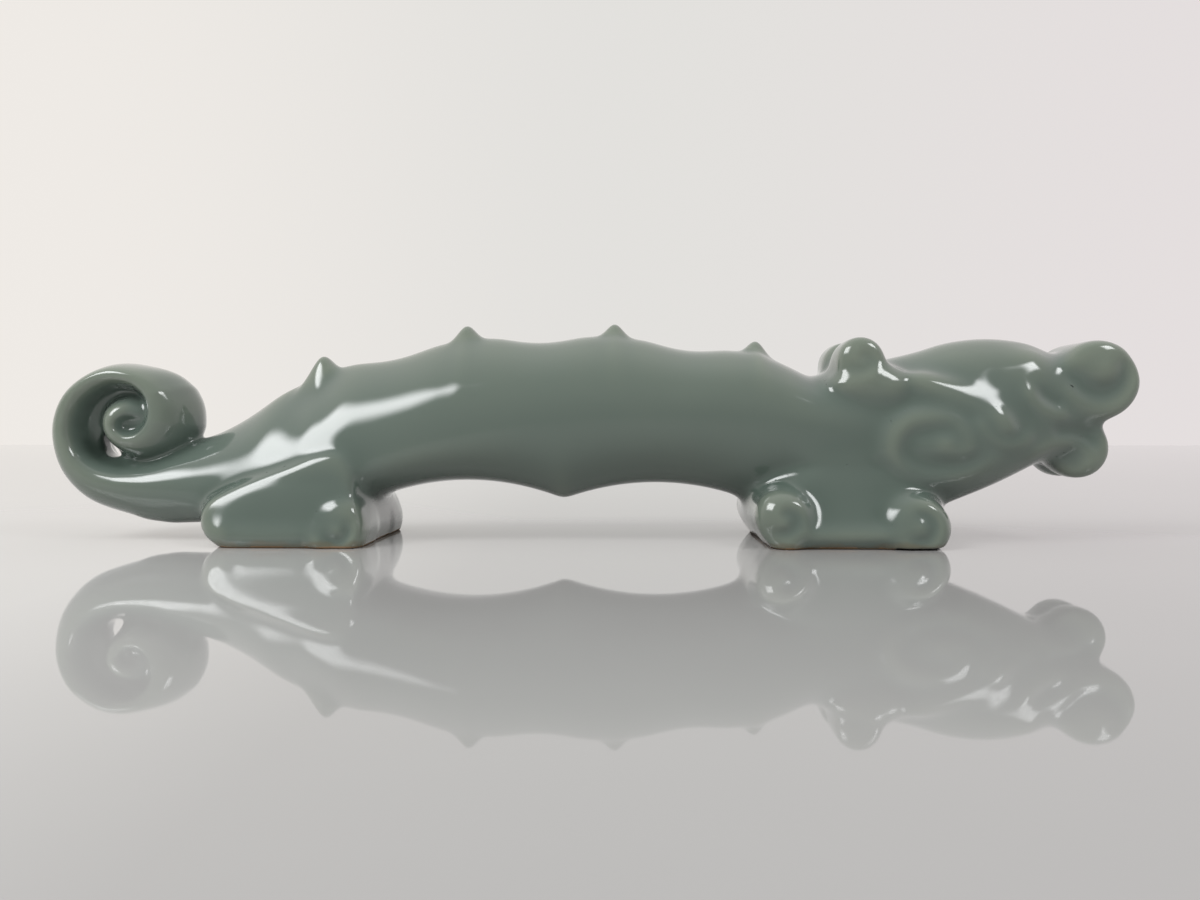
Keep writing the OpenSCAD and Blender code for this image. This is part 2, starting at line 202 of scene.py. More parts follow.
def soft_box(name, place, aim, width, height, watts):
    lamp = bpy.data.lights.new(name, "AREA")
    lamp.shape = "RECTANGLE"
    lamp.size, lamp.size_y = width * MM, height * MM
    lamp.energy = watts
    lamp.color = (0.98, 0.99, 1)
    lamp.use_nodes = True
    tree = lamp.node_tree
    on_cloth = add(tree, "ShaderNodeNewGeometry").outputs["Parametric"]
    sides = add(tree, "ShaderNodeSeparateXYZ", {"Vector": on_cloth}).outputs
    fades = []
    for side in (sides["X"], sides["Y"]):
        from_middle = reckon(tree, "ABSOLUTE", reckon(tree, "SUBTRACT", side, 0.5))
        fades.append(stretch(tree, from_middle, GLOW_NONE, GLOW_FULL, soft=True))
    tree.links.new(reckon(tree, "MULTIPLY", *fades), tree.nodes["Emission"].inputs["Strength"])
    holder = new_object(name, lamp)
    holder.location = [v * MM for v in place]
    way = Vector([v * MM for v in aim]) - holder.location
    holder.rotation_euler = way.to_track_quat("-Z", "Y").to_euler()
    print(name, "at", place, "mm,", watts, "W")


soft_box("left soft box", (-300, -248, 330), (-10, 0, 14), 310, 285, 2.4)
soft_box("right soft box", (335, -239, 353), (50, 0, 18), 200, 190, 1.0)

# %% [markdown]
# Every crest, paw and curl on the real rest melts into its neighbour, because the glaze is
# thick and rounds each corner. That could be sculpted by hand, or made with modifiers on each
# piece. Here the clay is written down as a depth instead: for any point, how many millimetres
# it lies outside the clay. Two depths can then be melted together with a fillet of any size,
# and the sizes stay the ones that the CAD pieces were built from.

# %% Joining and cutting by depth
MIDDLE = 2.0  # the frame's middle lies this far behind the middle that the sizes start from


def melt(a, b, fillet):
    """Two lumps of clay as one, with a soft fillet between them."""
    h = np.maximum(fillet - np.abs(a - b), 0) / fillet
    return np.minimum(a, b) - h * h * h * fillet / 6


def trim(a, b, fillet):
    """Only the clay that lies in both, with the edge rounded."""
    return -melt(-a, -b, fillet)


def round_depth(u, v, half_u, half_v, power):
    """Depth of a rounded section, where power 2 is an ellipse."""
    a, b = np.abs(u) / half_u, np.abs(v) / half_v
    s = (a ** power + b ** power) ** (1 / power) + 1e-6
    slope = np.hypot((a / s) ** (power - 1) / half_u, (b / s) ** (power - 1) / half_v)
    return (s - 1) / slope


def glide(points, steps, closed=False):
    """A smooth line through a few points."""
    p = np.array(points, float)
    n = len(p)
    rows = []
    for i in range(n if closed else n - 1):
        if closed:
            a, b, c, d = p[i - 1], p[i], p[(i + 1) % n], p[(i + 2) % n]
        else:
            a, b, c, d = p[max(i - 1, 0)], p[i], p[i + 1], p[min(i + 2, n - 1)]
        for t in np.arange(steps) / steps:
            rows.append(0.5 * (2 * b + (c - a) * t + (2 * a - 5 * b + 4 * c - d) * t ** 2
                               + (3 * b - a - 3 * c + d) * t ** 3))
    return np.array(rows if closed else rows + [p[-1]])


# %% [markdown]
# The body and the head are one long form whose shape follows a rule: a rounded section that
# changes along the length, with its top line, belly line, widest line and half width each in
# a table. Between two crest tips the top line hangs like a slack cord, which is the saddle
# where a brush lies. The potter pinched the back up: its flanks slope like a roof, and each
# crest tip is a thin fin of clay on it. The slope is what carries the long bright streak.

# %% Tables along the length
GAP = 0.02
ALONG = np.arange(-72, 72, GAP)


def table_of(points, column=1):
    rows = glide(points, 12)
    return np.interp(ALONG, rows[:, 0], rows[:, column])


def plain_table(points):
    rows = np.array(points, float)
    return np.interp(ALONG, rows[:, 0], rows[:, 1])


def soften(values, reach):
    k = np.arange(-int(3 * reach / GAP), int(3 * reach / GAP) + 1) * GAP
    weights = np.exp(-0.5 * (k / reach) ** 2)
    padded = np.pad(values, len(k) // 2, mode="edge")
    return np.convolve(padded, weights / weights.sum(), "valid")


def at(values, x):
    """A table read at any place along the length."""
    where = np.clip((x - ALONG[0]) / GAP, 0, len(ALONG) - 1.001)
    i = where.astype(int)
    return values[i] + (values[i + 1] - values[i]) * (where - i)


def sag(start, end, deep):
    """A line that hangs between two points, this deep below them in its middle."""
    (x0, z0), (x1, z1) = start, end
    u = (ALONG - x0) / (x1 - x0)
    return z0 + (z1 - z0) * u - 4 * deep * u * (1 - u)


# %% The long form from the tail root to the nose
BODY_HALF, HEAD_HALF = 9, 8.8
tail_root = (-56, 13.9)
tips = [(-39, 26.0), (-18.6, 30.2), (2.1, 30.38), (21.7, 28.0)]
nape = (29.1, 22.6)
root_top = [(-72, 10.3), (-66, 10.9), (-63, 11.3), (-61, 11.9), (-59, 12.8), tail_root]
head_rows = [(38, 24.7, 4.99, 13.4, 0.982), (41, 25.35, 4.9, 13.0, 0.99),
             (44, 26.1, 4.9, 12.9, 1), (47, 27.05, 5.25, 13.2, 1), (50, 27.6, 6.35, 13.9, 0.99),
             (53, 27.8, 7.6, 14.9, 0.95), (56, 27.6, 9, 15.9, 0.88), (59, 27, 10.45, 17, 0.8),
             (62, 25.5, 11.3, 17.7, 0.7), (64.5, 23.9, 12.6, 18.1, 0.6),
             (66.5, 22.5, 14.2, 18.4, 0.48), (68, 21.2, 15.9, 18.5, 0.32),
             (68.9, 19.9, 17.2, 18.6, 0.15)]
NOSE_END = 69.0
on_head = ALONG > 38
top = np.select(
    [ALONG < tail_root[0], *(ALONG < x for x, _ in tips), ALONG < nape[0], ~on_head],
    [plain_table(root_top), sag(tail_root, tips[0], 1.65),
     *(sag(tips[n], tips[n + 1], 2.9) for n in range(3)),
     nape[1] + 5.4 * np.clip((nape[0] - ALONG) / 7.4, 0, 1) ** 1.35,
     nape[1] + 0.236 * (ALONG - nape[0])],
    table_of(head_rows))
under = [(-72, 5.9), (-66, 3.5), (-63.5, 2.5), (-60, 2.05), (-56, 2.2), (-50, 3.3), (-40, 4.8),
         (-30, 6.2)]
belly_point, chest = (-5, 5.6), (20.5, 5.6)
belly = np.select(
    [ALONG < -30, ALONG < belly_point[0], ALONG < chest[0], ~on_head],
    [plain_table(under), sag(under[-1], belly_point, -2.3), sag(belly_point, chest, -2.3),
     chest[1] - 0.035 * (ALONG - chest[0])],
    table_of(head_rows, 2))
widest = np.where(on_head, table_of(head_rows, 3), plain_table(
    [(-72, 8.6), (-66, 8.0), (-62, 7.6), (-59, 7.4), (-56, 7.2), (-52, 7.3), (-48, 7.4),
     (-44, 7.6), (-40, 7.9), (-36, 8.7), (-32, 10.2), (-28, 11.8), (-24, 13), (-18, 14.4),
     (-10, 16.2), (0, 17.2), (15, 17.4), (25, 16.4), (38, 14.6)]))
half_width = np.where(on_head, HEAD_HALF * table_of(head_rows, 4), BODY_HALF * plain_table(
    [(-72, .67), (-66, .68), (-59, .695), (-56, .735), (-52, .825), (-48, .915), (-44, .985),
     (-40, 1.025), (-36, 1.025), (-32, 1.005), (-26, 1), (-20, 1), (10, 1), (25, .98), (38, .96)]))
at_tip = np.max([np.exp(-((ALONG - x) / 3.2) ** 2) for x, _ in tips], axis=0)
power_up = plain_table([(-72, 1.7), (-54, 1.7), (-50, 1.57), (-42, 1.57), (-38, 1.85),
                        (-34, 2.0), (-24, 2.0), (-16, 2.1), (72, 2.1)])
roof_height = plain_table([(-72, 40), (-52, 30), (-48, 18), (-44, 14.2), (-41, 14.8), (-38, 16.4),
                           (-35.5, 18.2), (-33, 19.5), (-26.6, 21), (-20, 22.5), (-10, 24.5),
                           (28, 26), (34, 60), (72, 60)])
power_down = np.where(on_head, 3.0, np.where((ALONG > -56) & (ALONG < -36), 2.7, 2.2))
top, belly = soften(top, 0.35), soften(belly, 0.4)
widest, half_width = soften(widest, 1.5), soften(half_width, 1.2)
power_up, power_down = soften(power_up, 2.0), soften(power_down, 1.0)
roof_height = soften(roof_height, 1.8)
TIP_RISE = 1.6  # a crest tip stands this far above the round back under it
ROOF_HALF, ROOF_OUT, ROOF_UP = 8.0, 0.72, 0.69  # half width at the roof's height, and its slope
FIN_HALF, FIN_FLARE, FIN_DEEP, LAST_FIN = 1.0, 0.45, 6.0, 48
print("saddle between the middle tips, mm below them:",
      round(float(tips[1][1] - top[(ALONG > -12) & (ALONG < -5)].min()), 2))


def long_form(x, y, z):
    v = z - at(widest, x)
    over = v > 0
    tall = np.where(over, at(top - TIP_RISE * at_tip - widest, x), at(widest - belly, x))
    power = np.where(over, at(power_up, x), at(power_down, x))
    depth = np.maximum(round_depth(y, v, at(half_width, x), tall, power), x - NOSE_END)
    roof = (np.abs(y) - ROOF_HALF) * ROOF_OUT + (z - at(roof_height, x)) * ROOF_UP
    depth = trim(depth, roof, 4.5)
    below_tip = at(top, x) - z
    fin = trim(4 * (1 - at(at_tip, x)) - below_tip,
               np.abs(y) - FIN_HALF - FIN_FLARE * below_tip, 1.0)
    fin = trim(fin, np.maximum(below_tip - FIN_DEEP, np.abs(x) - LAST_FIN), 1.0)
    return melt(depth, fin, 1.2)


# %% [markdown]
# Some forms are easiest to draw from the side: the thigh, the cheek, the mane lock. Each is
# an outline, and the clay swells from its rim to a flat top, like a pillow pressed on. The
# distance to an outline is worked out once on a fine sheet of points and then read from it,
# with a soft reading so that no facet shows in the gloss.

# %% Reading a fine sheet of values
def soft_weights(s):
    """How much each of three neighbours counts, at this share of a step off the middle one."""
    return 0.5 * (0.5 - s) ** 2, 0.75 - s * s, 0.5 * (0.5 + s) ** 2


class Sheet:
    def __init__(self, x0, x1, z0, z1, step=0.1):
        self.x0, self.z0, self.step = x0, z0, step
        self.xs = np.arange(x0, x1 + step, step)
        self.zs = np.arange(z0, z1 + step, step)
        self.px, self.pz = (v.ravel() for v in np.meshgrid(self.xs, self.zs, indexing="ij"))
        self.shape = (len(self.xs), len(self.zs))

    def read(self, values, x, z):
        fx, fz = (x - self.x0) / self.step, (z - self.z0) / self.step
        i = np.clip(np.rint(fx).astype(int), 1, self.shape[0] - 2)
        j = np.clip(np.rint(fz).astype(int), 1, self.shape[1] - 2)
        ws = soft_weights(np.clip(fx - i, -.5, .5))
        wt = soft_weights(np.clip(fz - j, -.5, .5))
        grid = values.reshape(self.shape)
        return sum(ws[a] * wt[b] * grid[i + a - 1, j + b - 1] for a in range(3) for b in range(3))


def to_line(px, pz, line):
    """Distance to a line, the place on it, the offset to its left and the way past its ends."""
    best = np.full(len(px), 1e9)
    place = np.zeros(len(px))
    side = np.zeros(len(px))
    beyond = np.zeros(len(px))
    for n in range(len(line) - 1):
        a, ab = line[n], line[n + 1] - line[n]
        length = np.hypot(*ab) + 1e-9
        rx, rz = px - a[0], pz - a[1]
        raw = (rx * ab[0] + rz * ab[1]) / length ** 2
        t = np.clip(raw, 0, 1)
        d = np.hypot(rx - t * ab[0], rz - t * ab[1])
        closer = d < best
        best = np.where(closer, d, best)
        place = np.where(closer, n + t, place)
        side = np.where(closer, (ab[0] * rz - ab[1] * rx) / length, side)
        before = np.maximum(-raw, 0) * length if n == 0 else 0
        after = np.maximum(raw - 1, 0) * length if n == len(line) - 2 else 0
        beyond = np.where(closer, before + after, beyond)
    return best, place, side, beyond


def inside(px, pz, line):
    """True within a closed line, by counting how often it is crossed."""
    crossed = np.zeros(len(px), bool)
    for (x0, z0), (x1, z1) in zip(line, np.roll(line, -1, axis=0)):
        if z0 == z1:
            continue
        hit = (z0 > pz) != (z1 > pz)
        crossed ^= hit & (px < x0 + (pz - z0) * (x1 - x0) / (z1 - z0))
    return crossed


# %% [markdown]
# The tail is one flat strap of clay that turns up and over, and its end is rolled in once
# more. Its middle line is typed in as a few points, with the thickness outside and inside of
# it at each. Where the strap passes over itself one sheet can't hold it, so it is read in
# three runs that overlap, and each run is a depth of its own.

# %% The strap tail
scroll_line = [(-62, 7.6), (-64, 7.78), (-66, 8.0), (-69.2, 8.8), (-71.6, 10.6), (-72.9, 13.1),
               (-73.3, 16.1), (-72.3, 19.3), (-69.9, 21.6), (-66.9, 22.7), (-63.9, 22.4),
               (-61.6, 20.9), (-60.5, 18.5), (-60.9, 16), (-62.5, 14.2), (-64.7, 13.9),
               (-66.3, 15.1), (-66.2, 16.9), (-64.7, 17.9), (-62.9, 17.6)]
swell_out = [5.3, 5.05, 4.5, 4.05, 3.5, 3.05, 2.6, 2.05, 1.8, 1.9, 1.9, 2.9, 4.1, 4.6, 3.6, 2.6,
             2.4, 2.8, 2.4, 1.4]
swell_in = [4.0, 3.35, 2.9, 2.6, 2.2, 2.0, 2.0, 2.2, 2.2, 2, 1.9, 1.8, 1.6, 1.4, 1.2, 1, 1, 1.1,
            1.2, 0.9]
strap_half = [6.2, 6.16, 6.12] + [6.1] * 15 + [5.5, 4.6]
outer_power = [2.2, 2.2, 2.2, 2.1, 2.0, 1.9, 1.8, 1.7] + [1.7] * 12
STEPS = 36
strap = glide(scroll_line, STEPS)
stations = np.arange(len(strap)) / STEPS
strap_out, strap_in, strap_width, strap_power = (
    glide([(v, 0) for v in values], STEPS)[:, 0]
    for values in (swell_out, swell_in, strap_half, outer_power))
STRAP_EDGE, STRAP_END = 0.4, 0.9  # how far the strap's rim and its two ends are rounded
strap_sheet = Sheet(-79, -54, -2, 29)


def strap_run(first, last):
    a, b = int(first * STEPS), int(last * STEPS)
    run = strap[a:b + 1]
    _, place, side, beyond = to_line(strap_sheet.px, strap_sheet.pz, run)
    return place + a, side, beyond


runs = [strap_run(0, 7.4), strap_run(6.6, 12.6), strap_run(11.6, 19)]
print("strap length of the tail in mm:",
      round(float(np.hypot(*np.diff(strap, axis=0).T).sum()), 1))


def strap_depth(run, x, y, z):
    place, side, beyond = (strap_sheet.read(v, x, z) for v in run)
    out, into, half, outer = (np.interp(place / STEPS, stations, values) for values
                              in (strap_out, strap_in, strap_width, strap_power))
    inner = side < 0
    tall = np.where(inner, into, out) - STRAP_EDGE
    power = np.where(inner, 1.7, outer)
    half = half - STRAP_EDGE
    a, b, c = np.abs(y) / half, np.abs(side) / tall, beyond / STRAP_END
    s = (a ** power + b ** power + c ** power) ** (1 / power) + 1e-6
    slope = np.sqrt(((a / s) ** (power - 1) / half) ** 2 + ((b / s) ** (power - 1) / tall) ** 2
                    + ((c / s) ** (power - 1) / STRAP_END) ** 2)
    return (s - 1) / (slope + 1e-6) - STRAP_EDGE


# %% [markdown]
# Inside the curl the strap isn't open from side to side. The potter rolled it on a thin web of
# clay, so the curl is a bowl on each side with one small hole left between the web and the
# outer turn. Each web is a short roll lying across the rest, thin for the wide bowl and nearly
# full width for the core that the tip is wound on.

# %% The webs in the curl
def roll(middle, radius, mid, half, swell, edge):
    """A short roll of clay lying across the rest, its two ends a little domed."""
    def depth(x, y, z):
        r = np.hypot(x - middle[0], z - middle[1])
        dome = swell * np.sqrt(np.maximum(1 - (r / (radius + 1)) ** 2, 0))
        return trim(r - radius, np.abs(y - mid) - half - dome, edge)
    inner = mid + half + swell
    box = (middle[0] - radius, middle[0] + radius, mid - half - swell,
           inner if inner < 0 else 1.0, middle[1] - radius, middle[1] + radius)
    return box, depth


full_web = roll((-67.4, 17.4), 5.8, 0, 2.0, 0, 1.2)[1]
core = roll((-63.3, 16.3), 2.6, 0, 3.6, 0.6, 1.2)[1]


def web(x, y, z):
    """The web with the small hole that is left in it."""
    return trim(full_web(x, y, z), 2.1 - np.hypot(x + 67.9, z - 13.8), 1.0)


# %% [markdown]
# The two feet are blocks of clay, wider below than above, with their ends rounded. The table
# of levels gives each block's back end, front end, half width and corner at a few heights. The
# front one narrows fast above its lowest band, so the chest runs down into it in one sweep.

# %% The foot blocks
HEIGHTS = np.arange(-1, 14, 0.05)


def block(levels):
    rows = glide(levels, 8)
    columns = [np.interp(HEIGHTS, rows[:, 0], rows[:, k]) for k in range(1, 5)]
    z_top = levels[-1][0]

    def depth(x, y, z):
        back, front, half, corner = (np.interp(z, HEIGHTS, c) for c in columns)
        qx = np.abs(x - (back + front) / 2) - ((front - back) / 2 - corner)
        qy = np.abs(y) - (half - corner)
        side = (np.hypot(np.maximum(qx, 0), np.maximum(qy, 0))
                + np.minimum(np.maximum(qx, qy), 0) - corner)
        return trim(side, z - z_top, 2.5)
    return depth


rear_foot_depth = block([[0, -49.4, -30.9, 11.6, 1.8], [0.9, -51.0, -30.5, 12.1, 2.4],
                         [2.2, -52.2, -30.5, 12.0, 3.6], [3.4, -52.6, -30.8, 11.5, 4.2],
                         [4.8, -52.5, -31.2, 10.9, 4.6], [6.4, -51, -31.9, 10.2, 4.6],
                         [7.8, -47, -33, 9.3, 3.6], [8.6, -43, -34.4, 7.6, 3.2]])
front_foot_depth = block([[0, 23.4, 44.2, 10.9, 5.8], [0.9, 22.3, 45, 11.7, 6],
                          [2.0, 21.5, 45.3, 12.0, 6], [3.0, 21.2, 45.3, 11.5, 6],
                          [4.6, 21.2, 45, 10.7, 5.4], [6.4, 21.7, 43.4, 9.9, 4.6],
                          [9, 24, 40.6, 8.9, 4], [10.6, 27, 37.4, 8.2, 3.2]])


# %% [markdown]
# The thigh, the locks, the cheek and the eye were pressed on as flat lumps. A side outline
# with a rim height and a top height gives each of them, so the seam to the body stays where
# the outline is, and the fillet there is as soft as the glaze leaves it. Some were pressed
# harder at the top or at the front, so their face leans in there.

# %% Pressed-on lumps
def lump(outline, rim, crest, reach, edge, back=0.0, lean=0.0, tilt=0.0, apart=False):
    """A lump that reaches in to the half width back, or ends there if it stands apart."""
    line = glide(outline, 6, closed=True)
    (x0, z0), (x1, z1) = line.min(axis=0) - 3, line.max(axis=0) + 3
    sheet = Sheet(x0, x1, z0, z1)
    ring = np.vstack([line, line[:1]])
    away = to_line(sheet.px, sheet.pz, ring)[0]
    away = np.where(inside(sheet.px, sheet.pz, line), -away, away)
    low, centre = line[:, 1].min(), line[:, 0].mean()

    def depth(x, y, z):
        far = sheet.read(away, x, z)
        rise = np.clip(-far / reach, 0, 1)
        face = rim + (crest - rim) * rise * (2 - rise) - lean * (z - low) - tilt * (x - centre)
        own = trim(far, np.abs(y) - face, edge)
        return trim(own, back - np.abs(y), 1.0) if apart else own
    box = (line[:, 0].min(), line[:, 0].max(), -crest, -back, line[:, 1].min(), line[:, 1].max())
    return box, depth


thigh = lump([(-51.4, 4.2), (-49.6, 6.6), (-46, 8.3), (-40.6, 9.9), (-37, 11.2),
              (-34.2, 11.4), (-32.6, 9.4), (-31.9, 6.4), (-31.9, 3.6), (-36, 2.6), (-43, 2.4),
              (-49.5, 2.6)], 10.8, 11.0, 3.4, 0.9, 4, lean=0.11)
cheek = lump([(36.6, 12.7), (37.2, 15.4), (39.2, 17.2), (42, 17.9), (45, 17.7), (47.6, 16.6),
              (49.8, 15.0), (51.6, 13.4), (51.8, 12.0), (50.0, 10.2), (47, 8.7), (44, 8.1),
              (40.8, 8.5), (37.9, 10.0)], 8.5, 9.2, 3.6, 2.2, 4, tilt=0.06)
brow = lump([(40.2, 21.8), (41.4, 19.8), (44.4, 18.0), (47.6, 17.0), (50.2, 16.6),
             (51.7, 17.0), (51.0, 18.6), (48.6, 20.5), (46.0, 21.8), (43.2, 22.7), (41.4, 22.6)],
            7.7, 8.5, 3.0, 1.8, 3)
eye = lump([(49.8, 17.4), (50.2, 15.6), (51.6, 14.6), (53.6, 14.4), (54.7, 15.1), (54.0, 16.7),
            (52.6, 18.1), (51.0, 18.4)], 8.4, 8.9, 1.8, 1.7, 4)
mane_lobe = lump([(31.4, 22.6), (30.4, 21.4), (31.2, 19.8), (33.2, 18.4), (35.6, 17.6),
                  (38.2, 17.6), (39.9, 18.4), (41, 19.8), (40.9, 21.5), (39.8, 23.2),
                  (37.3, 24.2), (34, 24.2)], 7.2, 8.8, 3.4, 2.4, 2.4, apart=True)
rear_curl = lump([(-37.4, 1.0), (-36.9, 3.6), (-35.2, 5.8), (-32.9, 6.3), (-31.1, 5.3),
                  (-30.5, 3), (-30.9, 1.0), (-32.0, -1.2), (-35.6, -1.2)], 11.3, 12.0, 2.2, 2.0, 8)
back_curl = lump([(21.1, 1.6), (20.2, 4.0), (20.9, 6.3), (22.9, 7.6), (25.6, 7.2), (27.3, 5.4),
                  (27.5, 3.4), (26.8, 1.2), (25.8, -1), (23.6, -1)], 11.8, 12.6, 2.4, 2.3, 8,
                 lean=0.1, tilt=0.03)
toe_curl = lump([(37.2, 2.2), (37.3, 4.2), (38.6, 6.1), (40.8, 6.7), (43.2, 6.2), (44.9, 4.4),
                 (45.3, 2.6), (44.4, 0.4), (42, -1), (39, -1), (37.6, 0.5)], 11.8, 12.6, 2.2, 2.2, 8,
                lean=0.1)
mane_roll = roll((34.6, 24.5), 3.1, -4.5, 2.6, 0.4, 1.4)
mane_bridge = roll((34.3, 23.7), 2.3, 0, 4.0, 0, 1.2)[1]  # joins the two locks over the neck
nose_roll = roll((66.7, 21.9), 5.4, 0, 5.3, 0.6, 2.4)
chin_roll = roll((64.5, 12.8), 4.1, -2.3, 2.1, 0.4, 2.0)
print("lumps and rolls ready")


# %% [markdown]
# The scroll lines in the curls are thin rolls of clay, and each follows the same rule: a flat
# spiral that tightens from a start radius to an end radius. A Geometry Nodes tree lays one
# such roll from its named inputs. The tree is used once for every curl, and the rolls are
# then pressed into the skin, so that the glaze runs over them.

# %% The scroll line tree
def open_socket(tree, title, kind, value=None, side="INPUT"):
    socket = tree.interface.new_socket(name=title, in_out=side, socket_type="NodeSocket" + kind)
    if value is not None:
        socket.default_value = value
    return socket.identifier


ROUND = 6  # sides of the roll
TAPER = 0.4  # share of its radius that the roll loses towards its end
scroll_clay = bpy.data.materials.new("scroll clay")
scroll_tree = bpy.data.node_groups.new("scroll line", "GeometryNodeTree")
SCROLL_INPUTS = {title: open_socket(scroll_tree, title, "Float", value) for title, value in (
    ("Start Radius", 3.0), ("End Radius", 0.2), ("Turns", 1.0), ("Start Angle", 0.0),
    ("Middle X", 0.0), ("Middle Z", 0.0), ("Roll Radius", 0.7), ("Taper", TAPER))}
SCROLL_INPUTS["Clay"] = open_socket(scroll_tree, "Clay", "Material")
open_socket(scroll_tree, "Roll", "Geometry", side="OUTPUT")
given = add(scroll_tree, "NodeGroupInput").outputs
spiral = add(scroll_tree, "GeometryNodeCurveSpiral",
             {"Resolution": 40, "Height": 0, "Reverse": True, "Rotations": given["Turns"],
              "Start Radius": given["Start Radius"], "End Radius": given["End Radius"]})
lift = add(scroll_tree, "ShaderNodeCombineXYZ", {"X": given["Middle X"], "Z": given["Middle Z"]})
turned = reckon(scroll_tree, "MULTIPLY", given["Start Angle"], -math.pi / 180)
swing = add(scroll_tree, "ShaderNodeCombineXYZ", {"X": math.pi / 2, "Y": turned})
upright = add(scroll_tree, "GeometryNodeTransform",
              {"Geometry": spiral.outputs["Curve"], "Translation": lift.outputs["Vector"],
               "Rotation": swing.outputs["Vector"]})
along = add(scroll_tree, "GeometryNodeSplineParameter").outputs["Factor"]
thinner = reckon(scroll_tree, "MULTIPLY", given["Taper"], along)
left_over = reckon(scroll_tree, "SUBTRACT", 1, thinner)
thick = reckon(scroll_tree, "MULTIPLY", left_over, given["Roll Radius"])
ring = add(scroll_tree, "GeometryNodeCurvePrimitiveCircle", {"Resolution": ROUND, "Radius": 1})
rolled = add(scroll_tree, "GeometryNodeCurveToMesh",
             {"Curve": upright.outputs["Geometry"], "Profile Curve": ring.outputs["Curve"],
              "Scale": thick})
real = add(scroll_tree, "GeometryNodeRealizeInstances", {"Geometry": rolled.outputs["Mesh"]})
paint = add(scroll_tree, "GeometryNodeSetMaterial",
            {"Geometry": real.outputs["Geometry"], "Material": given["Clay"]})
add(scroll_tree, "NodeGroupOutput", {"Roll": paint.outputs["Geometry"]})


def scroll_roll(name, middle, start, end, angle, turns, radius):
    """Lays one roll with the tree, and gives back its middle line and radius."""
    holder = new_object(name, bpy.data.meshes.new(name))
    stack = holder.modifiers.new("scroll", "NODES")
    stack.node_group = scroll_tree
    numbers = [float(v) for v in (start, end, turns, angle, *middle, radius, TAPER)]
    for socket, value in zip(SCROLL_INPUTS.values(), [*numbers, scroll_clay]):
        stack[socket] = value
    graph = bpy.context.evaluated_depsgraph_get()
    plain = bpy.data.meshes.new_from_object(holder.evaluated_get(graph))
    spots = np.array([v.co[:] for v in plain.vertices]).reshape(-1, ROUND, 3)
    line = spots.mean(axis=1)
    thickness = np.linalg.norm(spots[:, 0] - line, axis=1)
    bpy.data.objects.remove(holder)
    bpy.data.meshes.remove(plain)
    return line[:, [0, 2]], thickness


# %% The scroll lines of every curl
ridges, hollows = [], []
for kind, name, middle, start, end, angle, turns, radius, high in (
        (ridges, "back curl line", (24.0, 4.0), 3.0, 0.6, 228, 1.25, 1.1, 0.50),
        (ridges, "toe curl line", (40.9, 2.9), 3.2, 2.8, 215, 0.70, 1.1, 0.45),
        (ridges, "rear paw line", (-33.6, 2.4), 3.2, 2.6, 190, 0.55, 1.0, 0.70),
        (ridges, "mane curl line", (34.5, 24.5), 2.3, 0.5, 250, 1.20, 0.8, 0.45),
        (hollows, "back curl hollow", (24.0, 3.8), 2.1, 0.9, 215, 0.85, 0.95, 0.40),
        (hollows, "toe curl hollow", (40.9, 2.8), 1.8, 1.8, 215, 0.72, 0.85, 0.45),
        (hollows, "rear paw hollow", (-33.6, 2.3), 1.5, 1.5, 190, 0.58, 0.75, 0.50),
        (hollows, "mane curl hollow", (34.9, 24.4), 1.4, 1.1, 200, 0.75, 0.7, 0.35)):
    line, thickness = scroll_roll(name, middle, start, end, angle, turns, radius)
    kind.append((line, thickness, high))
    print(name, len(line), "points, from", np.round(line[0], 1), "to", np.round(line[-1], 1))

# %% [markdown]
# The head's larger lines were drawn freely with a tool, and no rule gives them, so they are
# typed in as a few points each: the cheek's scroll, the eye's lids, the folds of the muzzle,
# and the rims of the nose and chin. The feet have a thick band low down. Each curl also has a
# small knob in its middle, where the end of the roll was pressed in with a fingertip.

# %% Lines drawn by hand
def stroke(kind, points, wide, high):
    line = glide(points, 6)
    kind.append((line, np.full(len(line), wide), high))


stroke(ridges, [(53.6, 12.9), (50.4, 10.9), (47, 9.5), (44, 9.1), (41.1, 9.5), (38.7, 10.8),
                (38.0, 12.7), (38.5, 14.8), (40.0, 16.1), (42.1, 16.7), (44.7, 16.6),
                (46.9, 15.5), (48.0, 14.0), (47.5, 12.5), (46.0, 11.8), (44.6, 12.2)], 1.25, 0.38)
stroke(hollows, [(50.6, 12.1), (47.4, 10.9), (43.7, 10.6), (41.1, 11.4), (40.1, 13.1),
                 (41.0, 14.7), (43.0, 15.2), (45.2, 15.2), (46.4, 14.2)], 1.2, 0.42)
stroke(ridges, [(49.3, 17.0), (49.8, 15.2), (51.3, 13.9), (53.3, 13.2), (55.3, 13.5),
                (56.8, 14.9)], 0.8, 0.5)
stroke(ridges, [(50.9, 15.4), (52.4, 15.0), (53.9, 15.2)], 0.5, 0.2)
stroke(hollows, [(50.4, 22.6), (53.4, 20.2), (55.4, 18.4), (57.2, 16.8)], 1.6, 0.15)
stroke(ridges, [(55.9, 21.0), (56.9, 19.0), (58.4, 18.0), (60.0, 17.4), (62.1, 16.9)], 0.8, 0.42)
stroke(hollows, [(57.9, 20.6), (59.2, 19.3), (61.0, 18.6)], 0.9, 0.35)
stroke(ridges, [(56.2, 11.8), (58.2, 12.6), (60.4, 13.4), (62.6, 13.5), (64.7, 13.1),
                (65.9, 11.7), (65.3, 10.6), (64.1, 10.7)], 0.9, 0.40)
stroke(hollows, [(59.6, 15.0), (62.5, 15.2), (65.1, 14.6), (66.6, 13.0)], 0.9, 0.45)
stroke(hollows, [(61.6, 12.0), (62.4, 10.8), (63.7, 9.9)], 0.8, 0.3)
